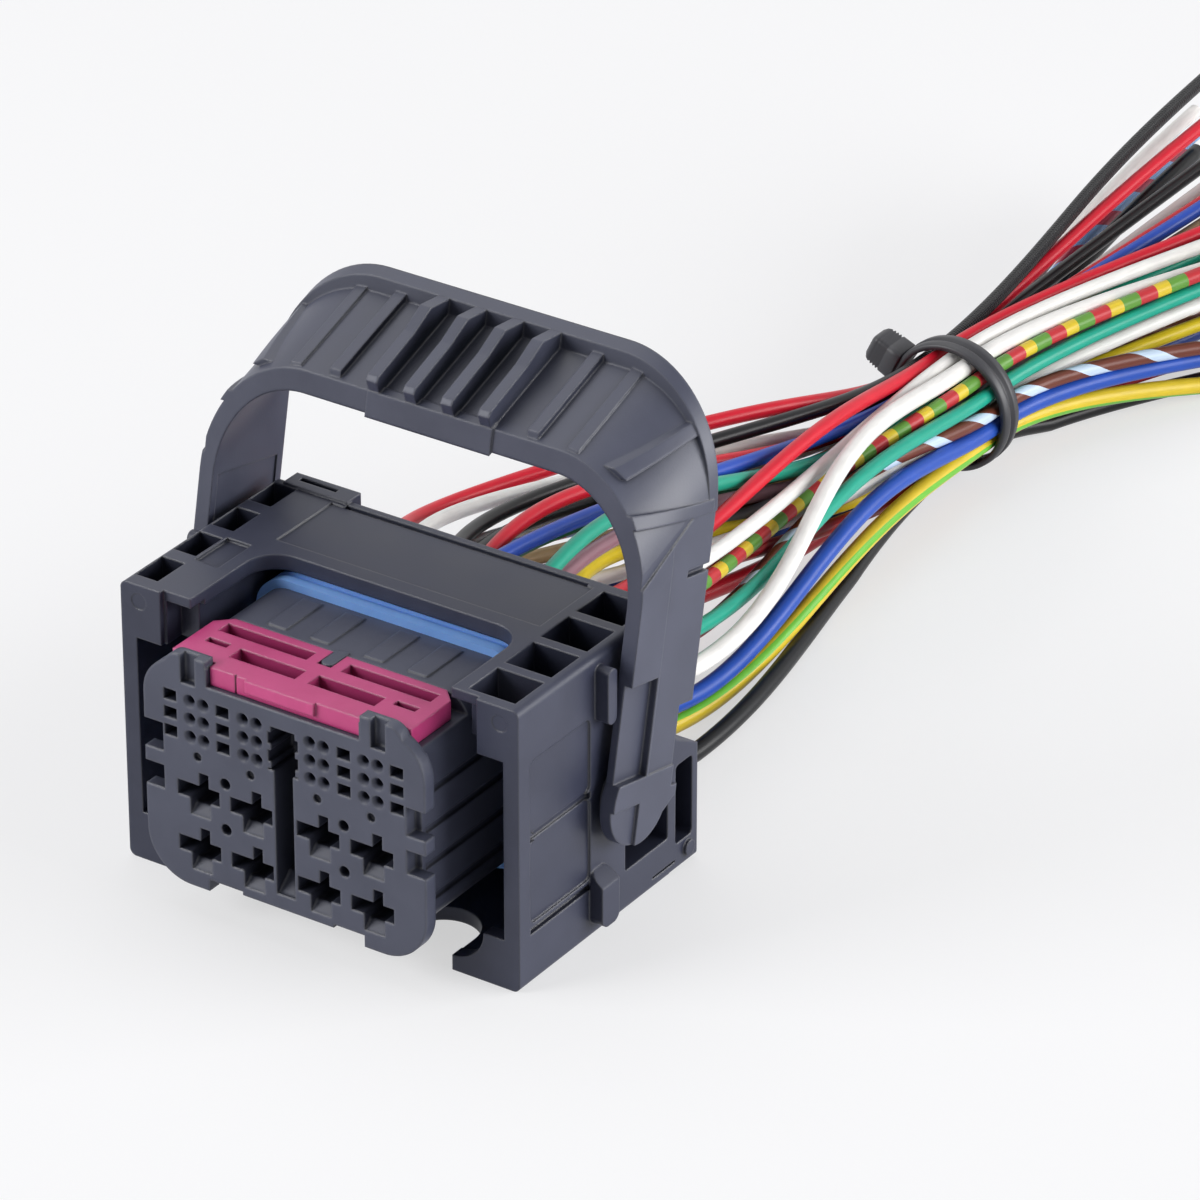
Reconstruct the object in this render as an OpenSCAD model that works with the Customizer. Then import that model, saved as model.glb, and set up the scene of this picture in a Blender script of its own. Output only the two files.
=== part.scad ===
// Lever-lock engine control unit connector with its wired pigtail.
// Millimetres, +Z up. The mating face looks along -Y and the wires leave along +Y.

/* [Drawing] */
// Sub-part to draw, or all of them

/* [Outer housing] */
// Width across the two side plates
housing_w = 73.4; // [68:0.2:88]
// Height from the feet to the top wall
housing_h = 48.6; // [48:0.2:58]
// Depth of the side plates from the front plane
housing_d = 48.4; // [44:0.2:58]
// Depth of the top wall
top_d = 39.8; // [38:0.2:43]
// Thickness of the side plates
side_t = 2.8; // [2:0.1:3.4]
// Thickness of the top wall
top_t = 2.6; // [2.2:0.1:3]
// Thickness of the floor
floor_t = 2.4; // [1.6:0.1:3]
// Height of the solid blocks beside the top opening
block_h = 9.3; // [8.5:0.1:12]
// Width of the opening in the top wall
cut_w = 48.2; // [44:0.2:50]
// Depth of the opening in the top wall
cut_d = 20.5; // [14:0.1:21.5]
// Corner radius of the opening in the top wall
cut_r = 5.5; // [3:0.1:6]
// Length of the weight-saving pockets
pocket_l = 7.6; // [5:0.1:8.4]
// Distance between neighbouring pockets
pocket_pitch = 9.45; // [9:0.05:9.6]
// Depth of the pockets
pocket_h = 7.4; // [4:0.1:8]

/* [Terminal carrier] */
// Distance of the mating face in front of the housing
carrier_out = 8.9; // [7.5:0.1:11]
// Thickness of the mating flange
flange_t = 2.4; // [1.8:0.1:3]
// Width of the mating flange
flange_w = 52; // [50:0.2:54]
// Lowest level of the carrier body
carrier_z0 = 7.2; // [6.6:0.1:7.6]
// Highest level of the carrier body
carrier_z1 = 44; // [43.6:0.1:44.4]
// Clearance of the carrier in its seat
seat_gap = 0.2; // [0.1:0.05:0.3]

/* [Cavities] */
// Distance between the two signal pins of a pair
signal_pitch = 2.54; // [2.54:0.02:3]
// Distance between the signal rows
row_pitch = 3.11; // [2.9:0.01:3.2]
// Level of the top signal row
row_z = 37.6; // [37.2:0.1:38]
// Centre of the inner cavity column
column_in = 6.2; // [6:0.1:6.6]
// Centre of the outer cavity column
column_out = 16.1; // [15.6:0.1:16.6]
// Width of the slots for the wide blades
blade_slot_w = 7.9; // [6.8:0.1:8.2]
// Height of the slots for the wide blades
blade_slot_h = 2.6; // [2:0.1:3]
// Level of the upper blade slots
blade_z = 22; // [21.8:0.1:22.4]
// Distance between the two rows of blade slots
blade_pitch = 9.7; // [9.4:0.1:9.9]

/* [Secondary lock] */
// Width of the lock
lock_w = 44; // [42.6:0.1:44.6]
// Depth of the lock's plate from front tongue to rear edge
lock_d = 14.1; // [12:0.1:14.3]
// Thickness of the lock's plate
lock_t = 3; // [2.4:0.1:3.2]

/* [Lever] */
// Pivot distance behind the front plane
pivot_y = 26.5; // [25:0.1:28]
// Pivot height above the feet
pivot_z = 22.5; // [20:0.1:25]
// Radius of the trunnions
pin_r = 3; // [2.4:0.05:4]
// Radial clearance of the trunnions in the arms
pin_gap = 0.06; // [0.03:0.01:0.1]
// Height of the strap's underside over the pivot
strap_b = 45.5; // [42:0.1:56]
// Thickness of the strap
strap_t = 3.2; // [2.6:0.1:4]
// Thickness of the arms
arm_t = 2.6; // [2.4:0.1:3.6]
// Gap between the arms and the side plates
arm_gap = 1.7; // [1.5:0.1:3]
// Width of the arms
arm_w = 18.6; // [16:0.1:21]
// Backward lean of the arms against the strap, degrees
arm_lean = 30; // [26:0.5:33]
// Rise of the strap toward its rear edge, degrees
lever_tilt = 18.5; // [16:0.5:21]
// Inner radius of the lever's upper corners
corner_r = 15.2; // [12:0.1:18]
// Height of the rear flange over the strap
flange_h = 2.2; // [1.6:0.1:4]

/* [Wires] */
// Outer diameter of the thick wires
power_d = 3; // [2.4:0.1:3]
// Outer diameter of the thin wires
signal_d = 2.5; // [1.8:0.1:2.5]
// Distance of the cable tie behind the front plane
tie_y = 181; // [170:1:195]
// Distance of the cut wire ends behind the front plane
end_y = 290; // [270:1:320]
// Width of the cable tie's strap
tie_w = 4.6; // [2.5:0.1:5]
// Thickness of the cable tie's strap
tie_t = 1.2; // [1:0.1:1.6]

/* [Hidden] */
$fn = 48;
eps = 0.01;
half_w = housing_w / 2;
inner = half_w - side_t;
block_z = housing_h - block_h;

// seat of the carrier in the housing and the carrier's steps along the depth
seat_y = 28;
seat_half = 25.7;
seat_z0 = carrier_z0 - 2.9;
seat_z1 = carrier_z1 + 0.9;
seat_r = 4.6;
body_half = 23.6;
body_r = 5;
groove_in = 1;
seal_y0 = 18.4;
seal_y1 = 27.4;
carrier_y1 = 39.4;
mat_y0 = 33;
mat_y1 = 37.4;
mat_wall = 1.5;
mat_half = seat_half - seat_gap - mat_wall;
block_half = 25.2;
face_y = -carrier_out;
back_y = face_y + flange_t;

// side pockets
pocket_y = 2;
pocket_x0 = seat_half + 0.7;
pocket_x1 = half_w - 1.9;
slim_x0 = half_w - 5.2;
slim_x1 = half_w - 0.8;
slim_y = 2.6;
slim_pitch = 9.65;
slim_l = 6.9;

// front feet
foot_in = 24.3;
foot_h = 8.4;
foot_r = 5.8;
foot_t = 2.5;
floor_cut_d = 9;
floor_cut_r = 6;

// rear frame and its windows
frame_h = 20.5;
frame_rise = 3;
frame_in = half_w - 9.3;
window_d = 8;

// lever layout
arm_in = half_w + arm_gap;
arm_out = arm_in + arm_t;
hub_r = 7.6;
front_v = -6.7;
rear_v = front_v + arm_w;
low_v = rear_v - 3.7;
step_u = 13;
strap_top = strap_b + strap_t;
flange_top = strap_top + flange_h;
corner_out = corner_r + arm_t;
strap_flange_t = 2.2;
corner_x = arm_in - corner_r;
corner_b = strap_b - corner_r;
boss_gap = 0.2;
bore_depth = 1.8;
// place along the lever's depth axis of a point at height b and across-arm offset v
function lever_a(b, v) = (b + v * sin(arm_lean)) / cos(arm_lean) * sin(arm_lean) + v * cos(arm_lean);
function tilt_y(a, b) = pivot_y + a * cos(lever_tilt) - b * sin(lever_tilt);
function tilt_z(a, b) = pivot_z + a * sin(lever_tilt) + b * cos(lever_tilt);

// the whole part is centred between the mating face and the lever's rear flange
rear_y = max(housing_d, tilt_y(lever_a(flange_top, rear_v), flange_top));
front_y = -(rear_y - carrier_out) / 2;

// cavity columns and rows
columns = [-column_out, -column_in, column_in, column_out];
signal_rows = [row_z, row_z - row_pitch, row_z - 2 * row_pitch];
power_rows = [blade_z, blade_z - blade_pitch];
signal_xs = [for (c = columns, s = [-1, 1]) c + s * signal_pitch / 2];
chamber_y = 13;
terminal_y = -1.5;
crimp_y = 14.5;
signal_hole_r = 0.65;
signal_box = [2.1, 2.4];
receptacle = [6.9, 4.2];
chamber = [7.7, 5.4];
wire_gap = 0.05;

// wires: name, colour, column, row, ring, slot, then as (x, z) the early bow, the late bow and the run-out
// rows 0 to 2 are the signal rows and rows 3 and 4 the power rows
ring_r = [2.6, 5.7, 8.8];
ring_n = [4, 10, 18];
ring_a = [45, -72, -90];
tie_x = 2;
tie_z = 12.2;
fan_y = 43;
edge_y = 236;
bow_early = 0.6;
bow_late = 1.6;
ground = 0.05;
ring_count = 26;
sides = 8;
WIRES = [
    ["red_c", "#c62a30", 0, 0, 2, 12, [-19.7, -8.9], [3.8, 6.7], [0.5, 4.8]],
    ["white_c", "#dedcd8", 1, 0, 1, 7, [-16, -5.9], [4.5, 4.9], [2.7, 3.2]],
    ["black_c", "#1a1a1d", 2, 0, 2, 11, [-14.8, -5.3], [3.1, 3.1], [-3.3, 5.5]],
    ["blue_b", "#3c52a4", 3, 0, 1, 5, [-0.1, -0.2], [1.1, 0.9], [6, 3.1]],
    ["white_d", "#e0deda", 4, 0, 1, 2, [-6.3, -9.4], [1.9, -0.2], [15.3, 3.7]],
    ["teal_b", "#2a8c7c", 5, 0, 1, 4, [-4.6, 2.9], [-0.4, -3.2], [12.3, 3.2]],
    ["red_a", "#c2242c", 6, 0, 2, 10, [-3.8, -7.2], [1.4, 4.6], [13.4, 2.1]],
    ["white_b", "#e4e2de", 7, 0, 2, 9, [-0.1, -4.9], [-0.5, -1.4], [15.3, 2.3]],
    ["white_e", "#e6e4e0", 0, 1, 2, 14, [-3.6, -4], [0, 0.7], [-3.5, 5.2]],
    ["tan", "#c2a27c", 1, 1, 0, 1, [-0.1, -6.7], [0.2, -0.2], [7.1, 4]],
    ["black_e", "#1e1e21", 2, 1, 2, 13, [-10.1, -2.5], [2.4, 0.4], [1.7, 2.4]],
    ["red_b", "#b3202a", 3, 1, 1, 6, [-6.9, 3.1], [3.6, 0.4], [5.8, 3.1]],
    ["dark_blue", "#27407f", 4, 1, 2, 0, [-6.9, -8.3], [3.5, 1.7], [9.1, -1.4]],
    ["mauve", "#8a6a74", 5, 1, 1, 0, [-5, 2.2], [-4, 0.4], [10.9, -0.5]],
    ["yellow", "#d9c23a", 6, 1, 1, 1, [-15.1, -2.9], [1.4, -1.9], [14.1, 1.4]],
    ["banded", "#d8b93c", 7, 1, 2, 7, [-2.3, -7.6], [-3.7, -1.4], [18.8, 5]],
    ["sky_b", "#8fb4dc", 0, 2, 2, 15, [-4.2, -3.4], [-0.6, -0.4], [-3.8, 4.5]],
    ["grey_b", "#787b80", 1, 2, 1, 3, [-0.9, -7], [2.1, -0.9], [14, 4.3]],
    ["dark_green", "#1f5a3a", 2, 2, 0, 0, [-6.3, -0.1], [0.1, -0.1], [11.1, 4.1]],
    ["brown", "#6b4230", 3, 2, 0, 2, [-2.8, -9.1], [-1.7, 1.6], [16.5, -1.8]],
    ["black_b", "#202024", 4, 2, 0, 3, [-9.2, -8.3], [0.9, 0.5], [12, 3]],
    ["dark_red", "#8c1c22", 5, 2, 2, 2, [-0.5, -1.9], [-0.6, -0.9], [15.2, -0.5]],
    ["brown_white", "#7a4a33", 6, 2, 2, 5, [-0.3, -12.5], [-3.8, 3.7], [22.3, -3.4]],
    ["teal", "#1f8f86", 7, 2, 2, 6, [1.8, -8.5], [-1.3, 2.8], [16.8, 4.6]],
    ["grey", "#6f7276", 0, 3, 1, 8, [-0.2, -0.1], [-0.3, 0], [3.9, 1.4]],
    ["red_d", "#a81f26", 1, 3, 1, 9, [-0.3, -3.6], [-1.6, 0.9], [8.6, 3.6]],
    ["blue", "#2b5fb8", 2, 3, 2, 4, [6.3, -16.1], [-0.4, 6.3], [20.6, -2.9]],
    ["white_s", "#e9e7e2", 3, 3, 2, 8, [8.5, -3.4], [-1.9, 4.4], [17.9, 1.3]],
    ["black_d", "#242428", 0, 4, 2, 16, [-0.6, 0], [-2.5, 0.7], [-4.7, 3.8]],
    ["red_low", "#b8262c", 1, 4, 2, 17, [-0.9, -0.8], [1, -3.3], [9.1, -8.7]],
    ["yellow_green", "#c9c23a", 2, 4, 2, 3, [6.7, -10.3], [0.4, 2.7], [20.3, -6.9]],
    ["black_low", "#1d1d20", 3, 4, 2, 1, [6.3, -11.3], [-0.3, -0.1], [21.1, -13.6]]
];

POWER = [for (r = [0, 1], c = [0:3]) [columns[c], power_rows[r]]];

// shared helpers

module place() {
    translate([0, front_y, 0]) children();
}

module both_sides() {
    children();
    mirror([1, 0, 0]) children();
}

// plan drawn as (x, z) and run along the depth from y0 to y1
module along_y(y0, y1) {
    translate([0, y1, 0]) rotate([90, 0, 0]) linear_extrude(y1 - y0) children();
}

// side view drawn as (y, z) and run across from x0 to x1
module along_x(x0, x1) {
    translate([x0, 0, 0]) rotate([90, 0, 90]) linear_extrude(x1 - x0) children();
}

module box(x0, x1, y0, y1, z0, z1) {
    translate([x0, y0, z0]) cube([x1 - x0, y1 - y0, z1 - z0]);
}

module pane(x0, x1, z0, z1) {
    translate([x0, z0]) square([x1 - x0, z1 - z0]);
}

module rounded_pane(x0, x1, z0, z1, r) {
    pane(x0 + r, x1 - r, z0, z1);
    pane(x0, x1, z0 + r, z1 - r);
    for (x = [x0 + r, x1 - r], z = [z0 + r, z1 - r]) translate([x, z]) circle(r);
}

// outer housing

side_r = 1.2;
panel_in = 0.45;
panel_y0 = 2.9;
panel_y1 = 19;
groove_t = 1.2;
step_in = 29.2;
step_d = 0.9;
notch_in = 28.7;
notch_d = 4.5;
notch_t = 1.7;
heel_y = 41;
heel_h = 0.7;

module side_outline() {
    polygon([
        [0, 0], [heel_y, 0], [heel_y, heel_h], [housing_d, heel_h], [housing_d, frame_h],
        [top_d + frame_rise, frame_h + frame_rise],
        [top_d, frame_h + 2 * frame_rise], [top_d, housing_h], [0, housing_h]
    ]);
}

module housing_shell() {
    difference() {
        intersection() {
            along_y(0, housing_d) rounded_pane(-half_w, half_w, 0, housing_h, side_r);
            along_x(-half_w, half_w) side_outline();
        }
        along_y(-eps, seat_y) {
            pane(-inner, inner, floor_t, block_z);
            pane(-block_half, block_half, floor_t, housing_h - top_t);
        }
        along_y(-eps, step_d) pane(-step_in, step_in, floor_t, housing_h + eps);
        along_y(-eps, notch_d) pane(-notch_in, notch_in, floor_t, housing_h - notch_t);
        along_y(seat_y - eps, housing_d + eps)
            rounded_pane(-seat_half, seat_half, seat_z0, seat_z1, seat_r);
        box(-frame_in, frame_in, top_d, housing_d + eps, floor_t, housing_h + eps);
        // opening over the lock
        translate([0, 0, housing_h - top_t - eps]) linear_extrude(top_t + 2 * eps) {
            pane(-cut_w / 2, cut_w / 2, -eps, cut_d - cut_r);
            rounded_pane(-cut_w / 2, cut_w / 2, 0, cut_d, cut_r);
        }
        // opening in the floor between the feet
        translate([0, 0, -eps]) linear_extrude(floor_t + 2 * eps) {
            pane(-foot_in, foot_in, -eps, floor_cut_d - floor_cut_r);
            rounded_pane(-foot_in, foot_in, 0, floor_cut_d, floor_cut_r);
        }
    }
}

// rib behind each front foot with the quarter-round notch of the mating shroud
module foot_rib() {
    along_y(0, foot_t) difference() {
        pane(foot_in, inner + eps, 0, foot_h);
        translate([foot_in, foot_h]) circle(foot_r);
    }
}

tab_l = 2.3;
tab_out = 2.5;
tab_h = 9.4;
tab_gap = 1.25;
tab_b = 19.5;
tab_y = tilt_y(lever_a(tab_b, front_v), tab_b) - tab_gap;
tab_z = tilt_z(lever_a(tab_b, front_v), tab_b);
lug_y0 = 18.6;
lug_y1 = 23.2;
lug_z0 = 2.5;
lug_z1 = 11.9;
lug_slope = 2.2;
lug_r = 1.6;

// forward stop of the lever arm and the guide lug below it
module side_stops() {
    along_x(half_w - eps, half_w + tab_out)
        rounded_pane(tab_y - tab_l, tab_y, tab_z - tab_h / 2, tab_z + tab_h / 2, tab_l / 2.2);
    intersection() {
        along_y(lug_y0, lug_y1) polygon([
            [half_w - eps, lug_z0], [half_w + tab_out, lug_z0], [half_w + tab_out, lug_z1 - lug_slope],
            [half_w - eps, lug_z1]
        ]);
        along_x(half_w - 1, half_w + tab_out) rounded_pane(lug_y0, lug_y1, lug_z0, lug_z1, lug_r);
    }
}

boss_r = 5;

// trunnion on its round spacer
module trunnion() {
    translate([half_w - eps, pivot_y, pivot_z]) rotate([0, 90, 0]) {
        cylinder(r = boss_r, h = arm_gap - boss_gap + eps);
        cylinder(r = pin_r, h = arm_gap + bore_depth - pin_gap + eps);
    }
}

latch_x0 = -34.2;
latch_x1 = -22;
latch_h = 0.5;
latch_over = 2.5;
latch_wall = 1.7;
latch_slot = 1;

// raised latch tab at the rear edge of the top wall
module latch_tab() {
    difference() {
        box(latch_x0, latch_x1, top_d - 1.2, top_d + latch_over, housing_h - top_t, housing_h + latch_h);
        box(latch_x0 + latch_wall, latch_x1 - 2 * latch_wall, top_d + latch_slot / 2,
            top_d + 1.5 * latch_slot, housing_h - top_t - eps, housing_h + latch_h + eps);
    }
}

module side_panels() {
    z_groove = 24.85;
    z_low = 10.6;
    // recessed grip panels with a dark groove below each
    for (z = [[z_groove + groove_t, block_z - groove_t / 2], [z_low, z_groove]])
        along_x(half_w - panel_in, half_w + eps)
            rounded_pane(panel_y0, panel_y1, z[0], z[1], side_r);
    for (z = [z_groove, z_low - 1.5 * groove_t])
        along_x(half_w - 2 * panel_in, half_w + eps)
            pane(panel_y0, panel_y1, z, z + groove_t);
}

bead_r = 1.3;
bead_out = 0.6;

// blind windows of the rear frame
module rear_windows() {
    y1 = housing_d - 1.4;
    along_x(half_w - window_d, half_w + eps) {
        rounded_pane(y1 - 4.7, y1, 2 * bead_r + floor_t, frame_h - 1.5, 0.8);
        rounded_pane(28.4, y1 - 6.8, 3 * floor_t, pivot_z - boss_r - 2, 0.5);
    }
    // slit at the foot of the frame
    along_x(half_w - 2 * panel_in, half_w + eps) pane(heel_y - 5, heel_y + 1.2, floor_t - panel_in, floor_t);
}

// round bead at the foot of the rear window
module rear_bead() {
    translate([half_w - eps, housing_d - 2 * bead_r, floor_t + bead_r / 2]) rotate([0, 90, 0])
        cylinder(r = bead_r, h = bead_out + eps, $fn = 24);
}

label_x = 24.5;
label_y0 = 23.5;
label_in = 0.3;
mark_r = 1.4;
mark_in = 0.1;

module top_marks() {
    // bare label panel and the groove behind it
    box(-label_x, label_x, label_y0, top_d - 1.8, housing_h - label_in, housing_h + eps);
    box(-label_x + 2.5, label_x - 1.2, top_d - 1.9, top_d - 1.1, housing_h - 3 * label_in, housing_h + eps);
    // shallow ledge on the left
    box(-31.1, -26.5, 11.3, 19.8, housing_h - 2 * label_in, housing_h + eps);
    // round ejector marks on the front
    for (s = [-1, 1])
        translate([s * (half_w - 3.4), -eps, housing_h - 2.9]) rotate([-90, 0, 0])
            cylinder(r = mark_r, h = mark_in + eps);
}

module side_pockets() {
    z0 = housing_h - pocket_h;
    for (i = [0:3]) {
        y = pocket_y + i * pocket_pitch;
        box(pocket_x0, pocket_x1, y, y + pocket_l, z0, housing_h + eps);
        ys = slim_y + i * slim_pitch;
        box(-slim_x1, -slim_x0, ys, ys + slim_l, z0, housing_h + eps);
    }
}

module outer_housing() {
    color("#2a2c31") place() difference() {
        union() {
            housing_shell();
            both_sides() {
                foot_rib();
                side_stops();
                rear_bead();
                trunnion();
            }
            latch_tab();
        }
        side_pockets();
        top_marks();
        both_sides() {
            side_panels();
            rear_windows();
        }
    }
}

// terminal carrier

lobe_z = [5.2, 20.7, 24.8, 27.3, 32.2];
lobe_in = 22.5;
lobe_r = 7;
corner_in = 14.5;
tongue = [-8.2, 8.8, 0.6];
hook_x0 = 14.3;
hook_x1 = 22.2;
hook_h = 1.2;
hook_r = 3;
hook_slot = [16.2, 18.9];
hook_wall = 0.8;
lock_z0 = carrier_z1 - lock_t;
lock_y0 = face_y + 0.9;
lock_y1 = lock_y0 + lock_d;
lock_gap = 0.2;

module flange_outline() {
    w = flange_w / 2;
    pane(-lobe_in, lobe_in, carrier_z0, carrier_z1 - lobe_r);
    intersection() {
        rounded_pane(-w, w, lobe_z[4] - 2 * lobe_r, carrier_z1, lobe_r);
        pane(-w, w, lobe_z[4], carrier_z1);
    }
    pane(-w, w, lobe_z[2], lobe_z[3]);
    pane(tongue[0], tongue[1], carrier_z0 - tongue[2], carrier_z0 + eps);
    intersection() {
        rounded_pane(-w, w, lobe_z[0], lobe_z[1] + 2 * lobe_r, lobe_r + 1);
        union() {
            pane(-w, w, carrier_z0, lobe_z[1]);
            pane(-w, -corner_in, lobe_z[0], lobe_z[1]);
            pane(corner_in, w, lobe_z[0], lobe_z[1]);
        }
    }
}

module carrier_solid() {
    along_y(face_y, back_y) flange_outline();
    along_y(back_y - eps, seal_y1) rounded_pane(-body_half + groove_in, body_half - groove_in,
        carrier_z0 + 2 * groove_in, carrier_z1 - groove_in, body_r);
    along_y(back_y - eps, seal_y0)
        rounded_pane(-body_half, body_half, carrier_z0 + groove_in, carrier_z1, body_r);
    along_y(seal_y1 - eps, carrier_y1) rounded_pane(-seat_half + seat_gap, seat_half - seat_gap,
        seat_z0 + seat_gap, seat_z1 - seat_gap, seat_r);
    // hooks beside the lock
    both_sides() along_y(face_y, back_y) intersection() {
        rounded_pane(0, hook_x1, carrier_z1 - lobe_r, carrier_z1 + hook_h, hook_r);
        pane(hook_x0, hook_x1, carrier_z1 - lobe_r + hook_r, carrier_z1 + hook_h);
    }
}

nub_half = 1.1;
side_groove = [0.5, 1.2];

module lock_seat() {
    box(-flange_w, flange_w, back_y - lock_gap, lock_y1 + lock_gap, lock_z0, carrier_z1 + 2 * hook_h);
    box(-hook_x0 + lock_gap, hook_x0 - lock_gap, face_y - eps, back_y, lock_z0, carrier_z1 + 2 * hook_h);
    both_sides() box(hook_slot[0], hook_slot[1], face_y - eps, back_y - lock_gap - hook_wall,
        carrier_z1 - 3.6, carrier_z1 + 2 * hook_h);
}

// grooves along the sides of the carrier's body
module body_grooves() {
    for (i = [0:3]) let (z = carrier_z0 + 6.5 + i * 2 * row_pitch)
        box(body_half - side_groove[0], body_half + eps, back_y + 1, seal_y0 - 2, z, z + side_groove[1]);
}

slot_half = [2.8, 1.75];
slot_z = [9.1, 30.5, 38.1];
slot_d = 6;
slot_ramp = [3.4, 2.6];
castle = 0.55;

// polarising slot in the middle of the face with castellated upper edges
module key_slot() {
    along_y(face_y - eps, face_y + slot_d) {
        pane(-slot_half[1], slot_half[1], slot_z[0] + slot_ramp[1], slot_z[1] + eps);
        difference() {
            pane(-slot_half[0], slot_half[0], slot_z[1], slot_z[2]);
            for (s = [-1, 1], r = signal_rows)
                pane(s * slot_half[0] - castle, s * slot_half[0] + castle, r - castle, r + castle);
        }
    }
    ramp_z = slot_z[0] + slot_ramp[1];
    along_x(-slot_half[1], slot_half[1]) polygon([
        [face_y - eps, slot_z[0]], [face_y + castle, slot_z[0]], [face_y + slot_ramp[0], ramp_z],
        [face_y + slot_ramp[0], ramp_z + eps], [face_y - eps, ramp_z + eps]
    ]);
}

lance_x = [-21, -11.2, 11.2, 20.9];
lance = [2.4, 1.9];
lance_d = 3.5;
dot_r = [0.75, 0.95];
dot_x = 11;
dot_z = [28.3, 25.2, 17.2];

module signal_cavities() {
    for (z = signal_rows) {
        for (x = signal_xs) translate([x, face_y - eps, z]) rotate([-90, 0, 0]) {
            cylinder(r1 = 1.75 * signal_hole_r, r2 = signal_hole_r, h = signal_hole_r);
            cylinder(r = signal_hole_r, h = carrier_out + terminal_y + 2 * eps, $fn = 24);
        }
        along_y(face_y - eps, face_y + lance_d) for (x = lance_x)
            pane(x - lance[0] / 2, x + lance[0] / 2, z - lance[1] / 2, z + lance[1] / 2);
        along_y(terminal_y, chamber_y) for (x = signal_xs)
            pane(x - signal_box[0] / 2, x + signal_box[0] / 2, z - signal_box[1] / 2, z + signal_box[1] / 2);
        along_y(chamber_y - eps, carrier_y1) for (c = columns)
            wire_pair(c, z);
    }
    for (c = columns) translate([c, face_y - eps, dot_z[0]]) rotate([-90, 0, 0])
        cylinder(r = dot_r[0], h = 1, $fn = 24);
    for (s = [-1, 1], i = [1, 2]) translate([s * dot_x, face_y - eps, dot_z[i]]) rotate([-90, 0, 0])
        cylinder(r = dot_r[1], h = lance_d, $fn = 24);
}

// opening for the two wires of a signal pair
module wire_pair(c, z) {
    r = signal_d / 2 + wire_gap;
    pane(c - signal_pitch / 2, c + signal_pitch / 2, z - r, z + r);
    for (s = [-1, 1]) translate([c + s * signal_pitch / 2, z]) circle(r);
}

nib = [0.15, 1.95, 3.6];
stem = [-1.6, 2.2, 4.1];
ramp = [0.2, 1.6, 1.4];
stem_floor = 1;

// cross-shaped opening for a wide blade with a short ramp at the foot of its stem
module power_cavity(c, z) {
    h = blade_slot_h / 2;
    along_y(face_y - eps, terminal_y) {
        pane(c - blade_slot_w / 2, c + blade_slot_w / 2, z - h, z + h);
        pane(c + nib[0], c + nib[1], z, z + nib[2]);
    }
    z0 = z - stem[2];
    along_x(c + stem[0], c + stem[1]) polygon([
        [face_y - eps, z], [face_y - eps, z0], [face_y + ramp[0], z0],
        [face_y + ramp[1], z0 + ramp[2]], [face_y + ramp[1] + ramp[0], z0 + ramp[2]],
        [face_y + 2 * ramp[1], z0 + stem_floor], [terminal_y, z0 + stem_floor], [terminal_y, z]
    ]);
    along_y(terminal_y - eps, chamber_y)
        pane(c - chamber[0] / 2, c + chamber[0] / 2, z - chamber[1] / 2, z + chamber[1] / 2);
    along_y(chamber_y - eps, carrier_y1) translate([c, z]) circle(power_d / 2 + 4 * wire_gap);
}

rib_w = 3.6;
rib_h = 0.25;
nub_l = 4;

module terminal_carrier() {
    color("#46484d") place() {
        difference() {
            carrier_solid();
            lock_seat();
            key_slot();
            signal_cavities();
            both_sides() body_grooves();
            for (p = POWER) power_cavity(p[0], p[1]);
            along_y(mat_y0, carrier_y1 + eps)
                rounded_pane(-mat_half, mat_half, seat_z0 + mat_wall, seat_z1 - mat_wall, seat_r - 1);
        }
        // locating nub in the lock's rear notch and the raised pads behind the lock
        box(-nub_half, nub_half, lock_y1 - nub_l + nub_half, lock_y1 + 1, lock_z0 - eps, carrier_z1 + rib_h);
        translate([0, lock_y1 - nub_l + nub_half, lock_z0 - eps])
            cylinder(r = nub_half, h = lock_t + rib_h + eps, $fn = 24);
        for (x = [-13, -5, 5, 13])
            box(x - rib_w / 2, x + rib_w / 2, lock_y1 + 1.6, seal_y0 - 1.2,
                carrier_z1 - eps, carrier_z1 + rib_h);
    }
}

// secondary lock

ledge_x = [-7.1, 5.6];
ledge_h = 1.1;
ledge_out = 0.6;
score_x = -9.3;
score = 0.3;
lock_cut = 3.4;

module secondary_lock() {
    w = lock_w / 2;
    color("#d3294f") place() difference() {
        union() {
            box(-w, w, back_y, lock_y1, lock_z0 + lock_gap / 2, carrier_z1 + lock_gap);
            box(-hook_x0 + 2 * lock_gap, hook_x0 - 2 * lock_gap, lock_y0, back_y + eps,
                lock_z0 + lock_gap / 2, carrier_z1 + lock_gap);
            // raised ledge in the middle of the front
            box(ledge_x[0], ledge_x[1], lock_y0 - ledge_out, lock_y0 + eps,
                lock_z0 + ledge_h, carrier_z1 + lock_gap);
        }
        // rear notch, cut rear corners, rows of slots and the scored line on the front
        box(-nub_half - lock_gap, nub_half + lock_gap, lock_y1 - nub_l - lock_gap, lock_y1 + eps,
            0, housing_h);
        both_sides() {
            box(3.2, 19.6, lock_y1 - 4.3, lock_y1 - 1.7, 0, housing_h);
            box(1.2, 13.4, lock_y1 - 10, lock_y1 - 7, 0, housing_h);
            box(15.4, 19.4, lock_y1 - 8, lock_y1 - 6.7, 0, housing_h);
            translate([w, lock_y1, housing_h / 2]) rotate(45)
                cube([lock_cut, lock_cut, 2 * housing_h], center = true);
        }
        box(score_x, score_x + score, lock_y0 - eps, lock_y0 + score, 0, housing_h);
    }
}

// seals

seal_half = 24.9;
seal_z0 = carrier_z0 - 0.1;
seal_z1 = carrier_z1 + 1.3;
seal_r = 6;
lip = 0.7;

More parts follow.
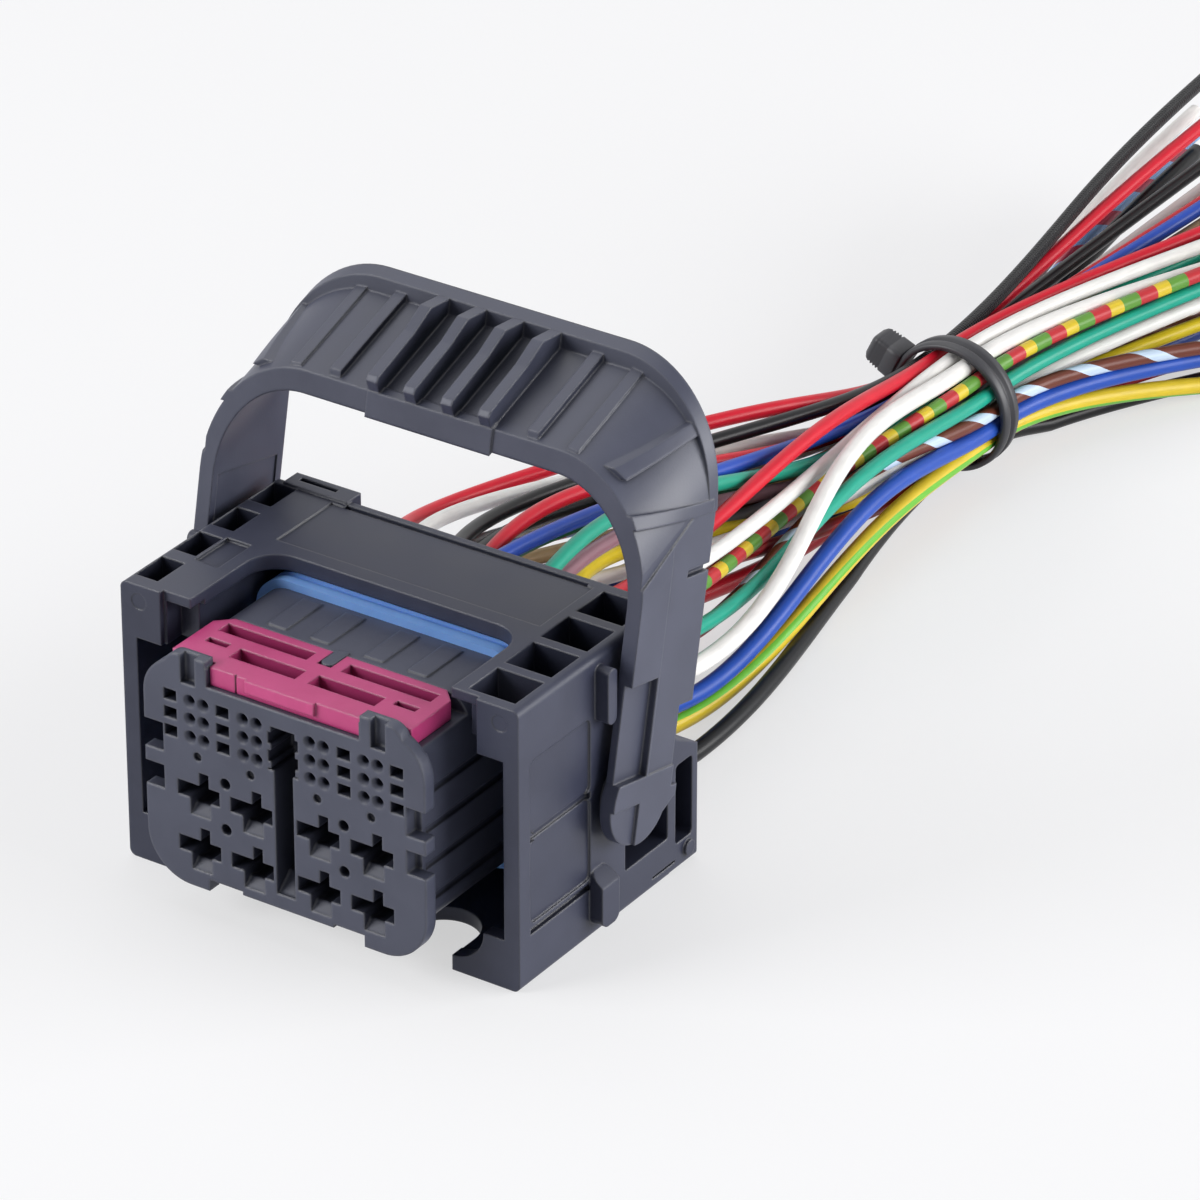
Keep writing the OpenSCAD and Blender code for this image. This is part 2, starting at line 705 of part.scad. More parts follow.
// ribbed silicone ring round the carrier's groove
module interface_seal() {
    n = 3;
    pitch = (seal_y1 - seal_y0) / n;
    color("#5c80c4") place() difference() {
        union() {
            along_y(seal_y0, seal_y1)
                rounded_pane(-seal_half + lip, seal_half - lip, seal_z0 + lip, seal_z1 - lip, seal_r - lip);
            for (i = [0:n - 1]) along_y(seal_y0 + i * pitch, seal_y0 + (i + 0.55) * pitch)
                rounded_pane(-seal_half, seal_half, seal_z0, seal_z1, seal_r);
        }
        along_y(seal_y0 - eps, seal_y1 + eps) rounded_pane(-body_half + groove_in, body_half - groove_in,
            carrier_z0 + 2 * groove_in, carrier_z1 - groove_in, body_r);
    }
}

// plate with an opening for every wire, used for the mat and for its cover
module wire_plate(y0, y1, wall) {
    difference() {
        along_y(y0, y1) rounded_pane(-mat_half + wall, mat_half - wall, seat_z0 + mat_wall + wall,
            seat_z1 - mat_wall - wall, seat_r - 1);
        along_y(y0 - eps, y1 + eps) {
            for (c = columns, z = signal_rows) wire_pair(c, z);
            for (p = POWER) translate(p) circle(power_d / 2 + wire_gap);
        }
    }
}

module wire_seal() {
    color("#4f78c0") place() wire_plate(mat_y0, mat_y1, 0);
}

module seal_cover() {
    color("#232428") place() wire_plate(mat_y1, carrier_y1 + 0.4, wire_gap);
}

// terminals

module crimp(r, y0, y1) {
    translate([0, y1, 0]) rotate([90, 0, 0]) cylinder(r = r, h = y1 - y0, $fn = 24);
}

signal_pin = 0.7;

module signal_terminals() {
    w = signal_box[0] / 2 - 0.15;
    h = signal_box[1] / 2 - 0.15;
    color("#c9a24a") place() for (x = signal_xs, z = signal_rows) translate([x, 0, z]) difference() {
        union() {
            box(-w, w, terminal_y + 0.2, chamber_y - 2, -h, h);
            crimp(h - 0.1, chamber_y - 2 - eps, crimp_y);
        }
        box(-signal_pin / 2, signal_pin / 2, terminal_y, chamber_y - 4, -signal_pin / 2, signal_pin / 2);
    }
}

blade = [6.4, 0.9];

module power_terminal(p) {
    w = receptacle[0] / 2;
    h = receptacle[1] / 2;
    color("#c8cbd0") place() translate([p[0], 0, p[1]]) difference() {
        union() {
            box(-w, w, terminal_y + 0.2, chamber_y - 2, -h, h);
            crimp(power_d / 2, chamber_y - 2 - eps, crimp_y);
        }
        box(-blade[0] / 2, blade[0] / 2, terminal_y, chamber_y - 4, -blade[1] / 2, blade[1] / 2);
    }
}

// lever

// shape drawn across (v) and along (u) the arm, turned to its lean
module arm_view() {
    rotate(-arm_lean) children();
}

bar_u = [-0.7, pin_r + pin_gap + 0.4];
bar_nose = 1.5;

module arm_outline() {
    far = 2 * strap_top;
    circle(hub_r);
    pane(front_v, low_v, 0, step_u + eps);
    pane(front_v, rear_v, step_u, far);
    // oblique heel under the cross bar
    polygon([[0, 0], [low_v + bar_nose, 0], [low_v + bar_nose, bar_u[0] - 1], [1, -hub_r]]);
}

// U-shaped outline of strap and arms seen from the front
module bail(half, top, r) {
    c = half - r;
    pane(-half, half, -2 * hub_r, top - r);
    pane(-c, c, -2 * hub_r, top);
    for (s = [-1, 1]) translate([s * c, top - r]) circle(r);
}

module lever_body() {
    span = 2 * strap_top;
    intersection() {
        along_y(-span, span) difference() {
            bail(arm_out, strap_top, corner_out);
            bail(arm_in, strap_b, corner_r);
        }
        along_x(-arm_out, arm_out) arm_view() arm_outline();
    }
    // flange standing up along the rear edge
    intersection() {
        along_y(-span, span) difference() {
            bail(arm_out - 0.2, flange_top, corner_out + 0.7);
            bail(arm_in, strap_b, corner_r);
        }
        along_x(-arm_out, arm_out) arm_view() pane(rear_v - strap_flange_t, rear_v, step_u + 25, span);
    }
}

grip_x = [3.45, 10.3];
grip_t = 2;
thin_h = 1;
corner_h = 1;
corner_t = 1.6;
corner_rib = [-3.9, 51.1, 18.9];
ledge_u = [43.6, 45.6];
corner_a = 83;

// contoured grip ribs, thin ribs and the ribs round the corners
module lever_ribs() {
    b0 = strap_top - eps;
    a0 = lever_a(strap_top, front_v) - 0.2;
    a1 = lever_a(flange_top, rear_v - 1);
    am = (a0 + a1) / 2;
    for (s = [-1, 1], x = grip_x) along_x(s * x - grip_t / 2, s * x + grip_t / 2) polygon([
        [a0, b0], [a0, b0 + 2.4], [a0 + 0.8, b0 + 3], [am, b0 + 3.3], [am + 5, b0 + 4.2],
        [a1 - 1, flange_top - 0.2], [a1, flange_top - 0.2], [a1 - 2, b0]
    ]);
    span = 2 * strap_top;
    intersection() {
        along_x(-arm_out, arm_out) arm_view() pane(front_v + 0.5, rear_v - 1, step_u, span);
        both_sides() {
            box(17.2, 19.2, -span, span, strap_top - 1, strap_top + thin_h);
            translate([corner_x, 0, corner_b]) rotate([0, -corner_a, 0])
                box(corner_out - 1, corner_out + thin_h, -span, span, -grip_t / 2, grip_t / 2);
        }
    }
    // rib across each corner and the ledge where the arm begins
    intersection() {
        along_y(-span, span) difference() {
            bail(arm_out, strap_top + corner_h, corner_out);
            bail(arm_out - 1, strap_top - 1, corner_out - 1);
        }
        both_sides() along_x(corner_x, arm_out) arm_view() {
            translate([corner_rib[0], corner_rib[1]]) rotate(corner_rib[2])
                pane(-1, arm_w - 4, -corner_t / 2, corner_t / 2);
            pane(front_v, rear_v - 1, ledge_u[0], ledge_u[1]);
        }
    }
}

recess_in = [1.3, 0.6, 0.3];
recess_v = 0.5;
recess_u = 19.4;
fan_u = 34;
lip_half = 11.5;
lip_out = 0.4;
lip_h = 0.25;

module lever_shape() {
    span = 2 * strap_top;
    difference() {
        union() {
            lever_body();
            lever_ribs();
            // stepped front edge in the middle of the strap
            intersection() {
                box(-lip_half, lip_half, -span, span, strap_b - lip_h, strap_top + lip_h);
                along_x(-arm_out, arm_out) arm_view() pane(front_v - lip_out, front_v + 1, step_u, span);
            }
        }
        both_sides() {
            // bearing bore and the recesses on the outer face of the arm
            translate([arm_in - eps, 0, 0]) rotate([0, 90, 0]) cylinder(r = pin_r + pin_gap, h = bore_depth);
            along_x(arm_out - recess_in[0], arm_out + eps) arm_view() {
                pane(front_v - 1, recess_v, bar_u[1], recess_u);
                pane(rear_v / 2, rear_v + 1, fan_u, fan_u + groove_t);
            }
            along_x(arm_out - recess_in[1], arm_out + eps) arm_view() {
                pane(-hub_r - 1, -recess_v, -hub_r - 1, bar_u[0]);
                polygon([[front_v - 1, fan_u], [front_v - 1, ledge_u[0]], [rear_v / 2, ledge_u[0]]]);
            }
            along_x(arm_out - recess_in[2], arm_out + eps) arm_view()
                pane(2 * recess_v, rear_v + 1, bar_u[1], ledge_u[0]);
            // shallow panel on the inner face of the arm
            along_x(arm_in - eps, arm_in + recess_in[2]) arm_view()
                pane(front_v + 1.5, rear_v - 1.5, step_u + 1, fan_u - 3);
        }
    }
}

module lever() {
    color("#26282c") place() translate([0, pivot_y, pivot_z]) rotate([lever_tilt, 0, 0]) lever_shape();
}

// wires and cable tie

function smooth(t) = t * t * (3 - 2 * t);
function run_out(u) = u < 1 ? u * u * (3 - u) / 2 : 1 + 1.5 * (1 - exp(1 - u));
function bow(t, peak) = pow(sin(180 * pow(t, peak)), 2);
function is_power(w) = w[3] > 2;
function wire_d(w) = is_power(w) ? power_d : signal_d;
function exit_of(w) = is_power(w)
    ? [columns[w[2]], power_rows[w[3] - 3]] : [signal_xs[w[2]], signal_rows[w[3]]];
function slot_of(w) = let (a = ring_a[w[4]] + w[5] * 360 / ring_n[w[4]])
    [tie_x + ring_r[w[4]] * cos(a), tie_z + ring_r[w[4]] * sin(a)];
function fan_point(w, e, s, t) = e + (s - e) * smooth(t) + w[6] * bow(t, bow_early) + w[7] * bow(t, bow_late);
// centre of a wire at depth y: straight, fanned in to the tie, then spread to the cut end
function wire_at(w, y) =
    let (e = exit_of(w), s = slot_of(w),
        p = y < fan_y ? e
            : y < tie_y ? fan_point(w, e, s, (y - fan_y) / (tie_y - fan_y))
            : s + w[8] * run_out((y - tie_y) / (edge_y - tie_y)))
    [p[0], max(p[1], wire_d(w) / 2 + ground)];
wire_ys = concat([crimp_y], [for (i = [0:ring_count - 1]) fan_y + i * (end_y - fan_y) / (ring_count - 1)]);

module wire(w) {
    r = wire_d(w) / 2;
    n = len(wire_ys);
    points = [for (y = wire_ys) let (c = wire_at(w, y)) for (k = [0:sides - 1])
        let (a = (k + 0.5) * 360 / sides) [c[0] + r * cos(a), y, c[1] + r * sin(a)]];
    last = (n - 1) * sides;
    skin = [for (i = [0:n - 2], k = [0:sides - 1])
        let (a = i * sides + k, b = i * sides + (k + 1) % sides)
            each [[a, b, b + sides], [a, b + sides, a + sides]]];
    caps = [for (k = [1:sides - 2]) each [[0, k + 1, k], [last, last + k, last + k + 1]]];
    color(w[1]) place() polyhedron(points, concat(skin, caps));
}

head = [6, 5.6, 6.2];
head_a = 155;
tooth = 0.5;

module cable_tie() {
    r = ring_r[2] + power_d / 2 + 6 * wire_gap;
    color("#202124") place() translate([tie_x, tie_y, tie_z]) rotate([90, 0, 0]) {
        rotate_extrude() difference() {
            pane(r, r + tie_t, -tie_w / 2, tie_w / 2);
            pane(r + 0.7 * tie_t, r + 2 * tie_t, -tie_w / 6, tie_w / 6);
        }
        rotate(head_a) difference() {
            translate([r + tie_t - 0.4, -head[0] / 2, -head[1] / 2]) cube([head[2], head[0], head[1]]);
            // serrated grip round the head's outer end
            for (i = [-1:1]) translate([r + head[2] + tooth, (i - 0.25) * 3 * tooth, -head[1]])
                cube([head[2], tooth, 2 * head[1]]);
        }
    }
}

outer_housing();
terminal_carrier();
secondary_lock();
lever();
interface_seal();
wire_seal();
seal_cover();
signal_terminals();
cable_tie();
for (i = [1:8]) power_terminal(POWER[i - 1]);
for (w = WIRES) wire(w);
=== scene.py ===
import math

import bpy
import numpy as np
from mathutils import Matrix, Vector


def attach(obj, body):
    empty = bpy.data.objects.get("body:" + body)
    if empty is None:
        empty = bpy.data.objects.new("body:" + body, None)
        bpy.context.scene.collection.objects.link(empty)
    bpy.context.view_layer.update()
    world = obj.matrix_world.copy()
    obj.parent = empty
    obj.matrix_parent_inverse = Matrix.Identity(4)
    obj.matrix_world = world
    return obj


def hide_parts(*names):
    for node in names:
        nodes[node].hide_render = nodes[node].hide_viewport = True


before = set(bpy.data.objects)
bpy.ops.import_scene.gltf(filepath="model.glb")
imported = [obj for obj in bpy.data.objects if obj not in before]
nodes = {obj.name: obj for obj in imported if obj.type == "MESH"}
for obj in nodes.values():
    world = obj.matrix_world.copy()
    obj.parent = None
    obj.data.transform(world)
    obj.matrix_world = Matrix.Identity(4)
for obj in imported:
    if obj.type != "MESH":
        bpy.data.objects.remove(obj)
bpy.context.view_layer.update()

MM = 0.001

# Viewpoint: a long lens about 1.1 m from the connector, looking down at it from the front right.
# The distances are measured from the middle of the housing's front plane at bench level.
FRONT_Y = -21.1743 * MM
VIEW_TURN, VIEW_RISE = math.radians(33.912), math.radians(28.912)
LENS_RIGHT, LENS_UP, LENS_BACK = 42.47 * MM, 49.26 * MM, 1091.79 * MM
SENSOR, FOCAL_PIXELS, FRAME_PIXELS = 36.0, 7147, 1200

view_right = Vector((math.cos(VIEW_TURN), math.sin(VIEW_TURN), 0))
view_back = Vector((
    math.sin(VIEW_TURN) * math.cos(VIEW_RISE),
    -math.cos(VIEW_TURN) * math.cos(VIEW_RISE),
    math.sin(VIEW_RISE),
))
view_up = view_back.cross(view_right)
lens_place = LENS_RIGHT * view_right + LENS_UP * view_up + LENS_BACK * view_back + Vector((0, FRONT_Y, 0))
lens_data = bpy.data.cameras.new("long_lens")
lens_data.sensor_width, lens_data.lens = SENSOR, SENSOR * FOCAL_PIXELS / FRAME_PIXELS
lens_data.clip_start, lens_data.clip_end = 0.05, 20
camera = bpy.data.objects.new("long_lens", lens_data)
bpy.context.scene.collection.objects.link(camera)
lens_turn = Matrix((view_right, view_up, view_back)).transposed().to_4x4()
camera.matrix_world = Matrix.Translation(lens_place) @ lens_turn
bpy.context.scene.camera = camera

# Bench: a seamless sheet of matt white card under large soft lamps. The card takes the soft shadow, and to the
# lens and in reflections part of it is plain white, as the room behind it is.
CARD_HALF, CARD_DROP = 3.0, 0.02 * MM
CARD_WHITE = 0.58


def linear(colour):
    """Linear RGBA from an sRGB hex string: s / 12.92 up to 0.04045, then ((s + 0.055) / 1.055) ^ 2.4."""
    s = np.array([int(colour[i:i + 2], 16) / 255 for i in (1, 3, 5)])
    return (*np.where(s <= 0.04045, s / 12.92, ((s + 0.055) / 1.055) ** 2.4), 1.0)


def add(tree, kind, links=None, sockets=None, **settings):
    """Adds one shader node, sets its fields and plain sockets, and links other sockets into it."""
    made = tree.nodes.new(kind)
    for key, value in settings.items():
        setattr(made, key, value)
    for key, value in (sockets or {}).items():
        made.inputs[key].default_value = value
    for key, source in (links or {}).items():
        tree.links.new(source, made.inputs[key])
    return made


def new_material(name):
    """An empty node material and its tree."""
    material = bpy.data.materials.new(name)
    material.use_nodes = True
    material.node_tree.nodes.clear()
    return material, material.node_tree


def relief(tree, height, strength, depth, normal=None):
    """Normal bent by a height socket; depth is in metres, and the bend starts from another normal if given."""
    links = {"Height": height} if normal is None else {"Height": height, "Normal": normal}
    return add(tree, "ShaderNodeBump", links, {"Strength": strength, "Distance": depth}).outputs[0]


def seen_ray(tree):
    """Socket that is 1 for rays of the lens, of reflections and through glass, and 0 for other light."""
    ray = add(tree, "ShaderNodeLightPath").outputs
    lens = add(tree, "ShaderNodeMath", {0: ray["Is Camera Ray"], 1: ray["Is Glossy Ray"]}, operation="MAXIMUM")
    return add(tree, "ShaderNodeMath", {0: lens.outputs[0], 1: ray["Is Transmission Ray"]},
               operation="MAXIMUM").outputs[0]


def mesh_piece(name, points, faces, material, uv=None):
    """Object at the origin from an array of points and a list of corners for each face, smooth shaded; uv holds
    one pair for every corner of every face."""
    mesh = bpy.data.meshes.new(name)
    mesh.from_pydata(points, [], faces)
    if uv is not None:
        mesh.uv_layers.new(name="along_around").data.foreach_set("uv", np.asarray(uv, "f").ravel())
    mesh.polygons.foreach_set("use_smooth", np.ones(len(mesh.polygons), bool))
    mesh.update()
    made = bpy.data.objects.new(name, mesh)
    bpy.context.scene.collection.objects.link(made)
    for m in material if isinstance(material, (list, tuple)) else [material]:
        mesh.materials.append(m)
    return made


# card: a dry matt white with a fibre grain that only takes the shine off
card, card_tree = new_material("matt_white_card")
card_grain = add(card_tree, "ShaderNodeTexNoise", sockets={"Scale": 900, "Detail": 2})
card_face = add(card_tree, "ShaderNodeBsdfPrincipled",
                {"Normal": relief(card_tree, card_grain.outputs["Fac"], 0.05, 0.2 * MM)},
                {"Base Color": linear("#fbfbfd"), "Roughness": 0.85, "Specular IOR Level": 0.2})
card_white = add(card_tree, "ShaderNodeEmission", sockets={"Color": (1, 1, 1, 1), "Strength": 1.0})
card_share = add(card_tree, "ShaderNodeMath", {0: seen_ray(card_tree)}, {1: CARD_WHITE}, operation="MULTIPLY")
card_mix = add(card_tree, "ShaderNodeMixShader",
               {0: card_share.outputs[0], 1: card_face.outputs[0], 2: card_white.outputs[0]})
add(card_tree, "ShaderNodeOutputMaterial", {"Surface": card_mix.outputs[0]})
card_corners = np.array([[-1, -1, 0], [1, -1, 0], [1, 1, 0], [-1, 1, 0]]) * CARD_HALF - [0, 0, CARD_DROP]
bench = mesh_piece("bench", card_corners, np.array([[0, 1, 2, 3]]), card)

# room: a faint cool fill, and plain white where it is seen
room = bpy.data.worlds.new("white_room")
room.use_nodes = True
bpy.context.scene.world = room
room_tree = room.node_tree
room_tree.nodes.clear()
room_light = add(room_tree, "ShaderNodeBackground", sockets={"Color": linear("#eef1ff"), "Strength": 0.14})
room_white = add(room_tree, "ShaderNodeBackground", sockets={"Color": (1, 1, 1, 1), "Strength": 1.0})
room_mix = add(room_tree, "ShaderNodeMixShader",
               {0: seen_ray(room_tree), 1: room_light.outputs[0], 2: room_white.outputs[0]})
add(room_tree, "ShaderNodeOutputWorld", {"Surface": room_mix.outputs[0]})

# name, place, aim, width and height of the lamp in metres, watts
for name, place, aim, size, power in [
    ("key_softbox", (-0.85, -0.9, 0.62), (0.0, 0.0, 0.03), (0.8, 0.6), 13.0),
    ("rim_softbox", (1.2, 0.55, 0.4), (0.0, 0.0, 0.03), (1.4, 0.7), 22.5),
    ("overhead_softbox", (-0.5, 0.35, 1.2), (0.0, 0.05, 0.03), (1.2, 1.2), 5.5),
]:
    lamp = bpy.data.lights.new(name, "AREA")
    lamp.shape, lamp.size, lamp.size_y, lamp.energy = "RECTANGLE", size[0], size[1], power
    softbox = bpy.data.objects.new(name, lamp)
    bpy.context.scene.collection.objects.link(softbox)
    softbox.location = place
    softbox.rotation_euler = (Vector(aim) - Vector(place)).to_track_quat("-Z", "Y").to_euler()
bpy.context.scene.view_settings.view_transform = "Standard"

# Mouldings: housing, lever, carrier and seal cover are glass-filled polyester in slightly different blacks,
# moulded in spark-eroded tools that leave a fine satin grain; the lock is the same polymer in crimson. The
# carrier slides into the housing, the lever snaps on its trunnions and the lock drops in the carrier's top.
# the cloud's size, and how far the painted shade in recesses reaches
CLOUD, RECESS_SHADE_REACH = 14 * MM, 10 * MM
GRAIN, GRAIN_DEPTH = 0.32 * MM, 0.035 * MM
EDGE_SHINE = 0.9


def rescale(tree, value, low, high, start=0.0, stop=1.0):
    """Value socket taken from the range start to stop into the range low to high, and held at its ends."""
    limits = {"From Min": start, "From Max": stop, "To Min": low, "To Max": high}
    return add(tree, "ShaderNodeMapRange", {0: value}, limits).outputs[0]


def two_tone(tree, value, dark, light, start=0.0, stop=1.0):
    """Colour that goes from dark to light as a value socket goes from start to stop."""
    ramp = add(tree, "ShaderNodeValToRGB", {0: value})
    low, high = ramp.color_ramp.elements
    low.position, low.color = start, linear(dark)
    high.position, high.color = stop, linear(light)
    return ramp.outputs[0]


def tinted(tree, colour, shade):
    """Colour socket multiplied by a shade socket."""
    return add(tree, "ShaderNodeMix", {6: colour, 7: shade}, {0: 1.0},
               data_type="RGBA", blend_type="MULTIPLY").outputs[2]


def surface(tree, links, sockets):
    """Principled surface as the material's output."""
    face = add(tree, "ShaderNodeBsdfPrincipled", links, sockets)
    add(tree, "ShaderNodeOutputMaterial", {"Surface": face.outputs[0]})


def moulded(name, dark, light, rough, sheen, edge=0.5):
    """Moulded thermoplastic. It clouds between two close colours over about 14 mm, with a satin gloss that varies
    with them, and carries a spark-erosion grain, drawn at 0.32 mm, coarser than the real 0.1 mm, so that it shows.
    Corners look rounded by the edge radius in millimetres and shine more where the rounded normal leans away from
    the flat one. Recesses are darkened with painted shade: the piece's own occlusion within 10 mm scales down the
    base colour."""
    material, tree = new_material(name)
    at = add(tree, "ShaderNodeTexCoord").outputs["Object"]
    cloud = add(tree, "ShaderNodeTexNoise", {"Vector": at},
                {"Scale": 1 / CLOUD, "Detail": 4, "Roughness": 0.6}).outputs["Fac"]
    spark = add(tree, "ShaderNodeTexNoise", {"Vector": at}, {"Scale": 1 / GRAIN, "Detail": 2}).outputs["Fac"]
    rounded = add(tree, "ShaderNodeBevel", sockets={"Radius": edge * MM}, samples=4).outputs[0]
    flat = add(tree, "ShaderNodeNewGeometry").outputs["Normal"]
    lean = add(tree, "ShaderNodeVectorMath", {0: rounded, 1: flat}, operation="DOT_PRODUCT").outputs["Value"]
    # painted shade: the piece's own occlusion darkens the base colour in its recesses, standing in for the shade
    # that falls there
    recess_occlusion = add(tree, "ShaderNodeAmbientOcclusion", sockets={"Distance": RECESS_SHADE_REACH}, samples=8, only_local=True)
    painted_recess_shade = rescale(tree, recess_occlusion.outputs["AO"], 0.42, 1.0, start=0.15, stop=0.97)
    surface(tree, {
        "Base Color": tinted(tree, two_tone(tree, cloud, dark, light, start=0.3, stop=0.72), painted_recess_shade),
        "Roughness": rescale(tree, cloud, rough - 0.05, rough + 0.06, start=0.3, stop=0.7),
        "Normal": relief(tree, spark, 0.35, GRAIN_DEPTH, rounded),
        "Specular IOR Level": rescale(tree, lean, EDGE_SHINE, sheen, start=0.72, stop=0.985),
    }, {"IOR": 1.54})
    return material


def dress(node, material):
    """Gives a CAD node its finish."""
    nodes[node].data.materials.clear()
    nodes[node].data.materials.append(material)


# black polyester: blue-black, satin, with bright worn edges; the lever and the carrier are a shade lighter
black_polyester = moulded("black_polyester", "#2f3243", "#3b3e4f", 0.42, 0.33)
dress("outer_housing", black_polyester)
dress("seal_cover", black_polyester)
dress("lever", moulded("lever_polyester", "#3a3d4e", "#46495a", 0.42, 0.42))
dress("terminal_carrier", moulded("carrier_polyester", "#3f4252", "#4b4e5e", 0.42, 0.4, edge=0.7))
# crimson polyester: the one strong colour of the front, a little glossier
dress("secondary_lock", moulded("crimson_polyester", "#be3b76", "#ce4b86", 0.36, 0.42))

# Seals: soft silicone, moulded in cornflower blue. The ring sits in the carrier's groove, and the mat behind the
# carrier grips the wires.
BLOOM, BLOOM_DEPTH = 5 * MM, 0.15 * MM
# blue silicone: matt and faintly translucent, with a cloudy bloom
silicone, silicone_tree = new_material("blue_silicone")
silicone_at = add(silicone_tree, "ShaderNodeTexCoord").outputs["Object"]
silicone_bloom = add(silicone_tree, "ShaderNodeTexNoise", {"Vector": silicone_at},
                     {"Scale": 1 / BLOOM, "Detail": 3}).outputs["Fac"]
surface(silicone_tree, {
    "Base Color": two_tone(silicone_tree, silicone_bloom, "#72a2e8", "#8cb8f4"),
    "Normal": relief(silicone_tree, silicone_bloom, 0.15, BLOOM_DEPTH),
}, {"Roughness": 0.5, "IOR": 1.42, "Subsurface Weight": 0.15, "Subsurface Scale": 0.6 * MM})
dress("interface_seal", silicone)
dress("wire_seal", silicone)

# Terminals: receptacles stamped and folded from copper alloy strip with a thin tin plating, crimped on the wires
# and latched in the carrier's cavities.
ROLLED_ACROSS, ROLLED_ALONG = 0.3 * MM, 6 * MM
# tinned copper alloy: satin grey metal with rolling marks along the strip
tin, tin_tree = new_material("tinned_copper_alloy")
tin_at = add(tin_tree, "ShaderNodeTexCoord").outputs["Object"]
tin_map = add(tin_tree, "ShaderNodeMapping", {0: tin_at},
              {"Scale": (1 / ROLLED_ACROSS, 1 / ROLLED_ALONG, 1 / ROLLED_ACROSS)}).outputs[0]
tin_roll = add(tin_tree, "ShaderNodeTexNoise", {"Vector": tin_map}, {"Scale": 1.0, "Detail": 2}).outputs["Fac"]
surface(tin_tree, {
    "Base Color": two_tone(tin_tree, tin_roll, "#7d7c79", "#989690"),
    "Roughness": rescale(tin_tree, tin_roll, 0.36, 0.55),
}, {"Metallic": 1.0})
for node in ["signal_terminals"] + ["power_terminal_%d" % i for i in range(1, 9)]:
    dress(node, tin)

# Wires: stranded copper in thin PVC insulation, extruded in one colour or with bands and stripes.
# Thick wires feed the blade sockets and thin ones the signal sockets; all fan in to one tie on the bench
# and spread again to their cut ends.
POWER_D, SIGNAL_D = 3.0 * MM, 2.5 * MM
COLUMNS = np.array([-16.1, -6.2, 6.2, 16.1]) * MM
SIGNAL_XS = (COLUMNS[:, None] + np.array([-1.27, 1.27]) * MM).ravel()
ROW_Z = np.array([37.6, 34.49, 31.38, 22.0, 12.3]) * MM
POWER_ROW = 3
CRIMP_Y, COVER_Y, FAN_Y, TIE_Y, EDGE_Y, END_Y = np.array([14.5, 39.8, 43, 181, 236, 290]) * MM
TIE = np.array([2.0, 12.2]) * MM
RING_R, RING_N, RING_A = np.array([2.6, 5.7, 8.8]) * MM, (4, 10, 18), (45, -72, -90)
GROUND = 0.05 * MM
EARLY_POWER, LATE_POWER = 0.6, 1.6
STATIONS, SIDES = 100, 24
TURN = np.arange(SIDES) / SIDES * 2 * np.pi
CIRCLE = np.stack([np.cos(TURN), np.sin(TURN)], 1)
# cut end, in radii: the core, its strands, and each ring's share of the radius and depth behind the cut
CORE, STRAND_RING, STRAND_R = 0.66, 0.43, 0.215
CUT_SHARE = np.array([0.95, CORE, CORE, 0.55, 0.44, 0.33, 0.22, 0.11, 0.02])
CUT_DEPTH = np.array([-0.03, -0.03] + [0.12] * 7)


def wire_line(column, row, ring, slot, early, late, run):
    """Centre line of a wire. It runs straight out of its socket to the fan, then eases to its slot in the tied
    bundle by t^2 (3 - 2t), with bows of sin^2(pi t^0.6) early and sin^2(pi t^1.6) late. Behind the tie it leaves on
    its own heading by u^2 (3 - u) / 2 and levels off by exp(1 - u). No point sinks in the bench."""
    y = np.concatenate([[CRIMP_Y, 0.5 * (CRIMP_Y + COVER_Y)], np.linspace(COVER_Y, END_Y, STATIONS)])
    leave = np.array([COLUMNS[column] if row >= POWER_ROW else SIGNAL_XS[column], ROW_Z[row]])
    turn = math.radians(RING_A[ring] + slot * 360 / RING_N[ring])
    seat = TIE + RING_R[ring] * np.array([math.cos(turn), math.sin(turn)])
    t = np.clip((y - FAN_Y) / (TIE_Y - FAN_Y), 0, 1)[:, None]
    fan = (leave + (seat - leave) * t * t * (3 - 2 * t)
           + np.array(early) * MM * np.sin(np.pi * t ** EARLY_POWER) ** 2
           + np.array(late) * MM * np.sin(np.pi * t ** LATE_POWER) ** 2)
    u = np.clip((y - TIE_Y) / (EDGE_Y - TIE_Y), 0, None)[:, None]
    spread = np.where(u < 1, u * u * (3 - u) / 2, 1 + 1.5 * (1 - np.exp(np.minimum(1 - u, 0))))
    across = np.where(y[:, None] < TIE_Y, fan, seat + np.array(run) * MM * spread)
    radius = (POWER_D if row >= POWER_ROW else SIGNAL_D) / 2
    height = np.maximum(across[:, 1], radius + GROUND)
    return np.stack([across[:, 0], y + FRONT_Y, height], 1)


def grid_faces(rows, columns):
    """Quads between rows of points, each row closed into a ring."""
    i, j = np.meshgrid(np.arange(rows - 1), np.arange(columns), indexing="ij")
    a, b = i * columns + j, i * columns + (j + 1) % columns
    return np.stack([a, b, b + columns, a + columns], -1).reshape(-1, 4)


def cut_end(middle, ahead, around, radius):
    """Rings of a cut end and the tip that closes them: a flat ring of insulation and, a little deeper, seven copper
    strands drawn as domes of height sqrt(STRAND_R^2 - off^2) at a distance off from the nearest strand's middle
    (the real core has nineteen finer ones)."""
    strands = np.concatenate([[[0, 0]], CIRCLE[::SIDES // 6] * STRAND_RING])
    spot = CUT_SHARE[:, None, None] * CIRCLE
    off = np.linalg.norm(spot[:, :, None] - strands, axis=3).min(2)
    dome = np.sqrt(np.clip(STRAND_R ** 2 - off ** 2, 0, None)) * (CUT_SHARE < CORE)[:, None]
    sunk = (CUT_DEPTH[:, None] - dome)[:, :, None]
    rings = middle + radius * (CUT_SHARE[:, None, None] * around - sunk * ahead)
    return rings, middle + radius * (STRAND_R - CUT_DEPTH[-1]) * ahead


